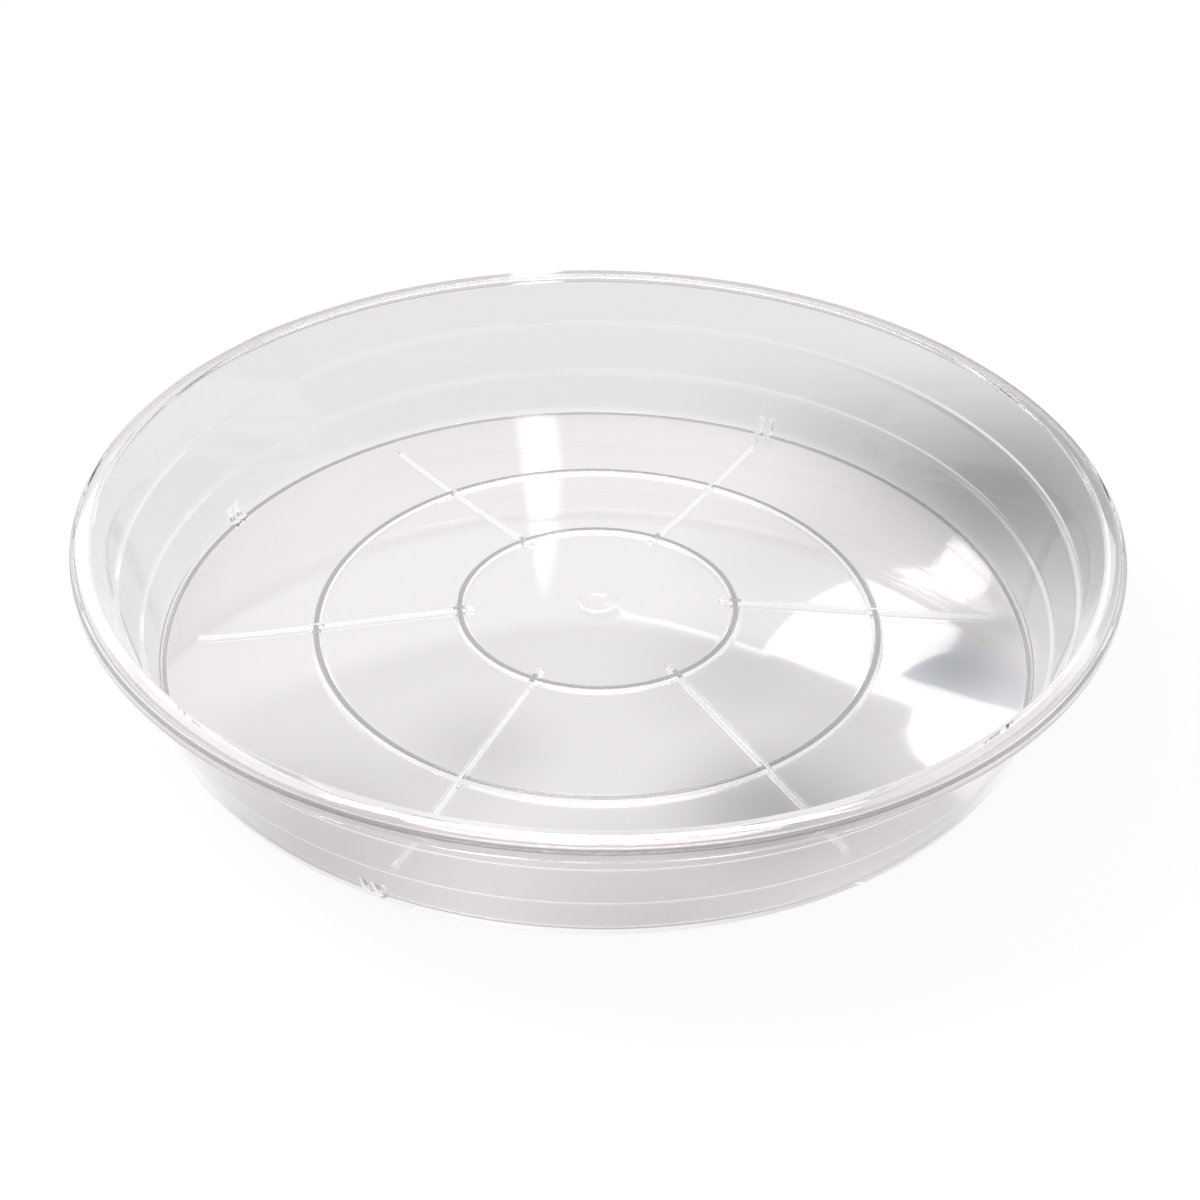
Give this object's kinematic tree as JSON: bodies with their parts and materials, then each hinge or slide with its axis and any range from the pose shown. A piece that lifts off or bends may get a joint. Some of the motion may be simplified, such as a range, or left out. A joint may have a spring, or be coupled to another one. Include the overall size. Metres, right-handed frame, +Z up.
{
  "type": "plant saucer",
  "caption": "Round clear plastic plant saucer with a crowned, ribbed floor, a flared wall with small steps, and a rim that turns down into a skirt.",
  "frame": {"origin": "middle of the foot, on the surface that the saucer stands on", "axes": "+Z up along the saucer's own axis, +X along one of the six radial ribs"},
  "size_m": [0.3, 0.3, 0.047],
  "materials": {
    "clear_plastic": "clear moulded plastic, gloss, with a faint warm grey tint"
  },
  "bodies": {
    "root": {"saucer": "clear_plastic"}
  },
  "joints": []
}
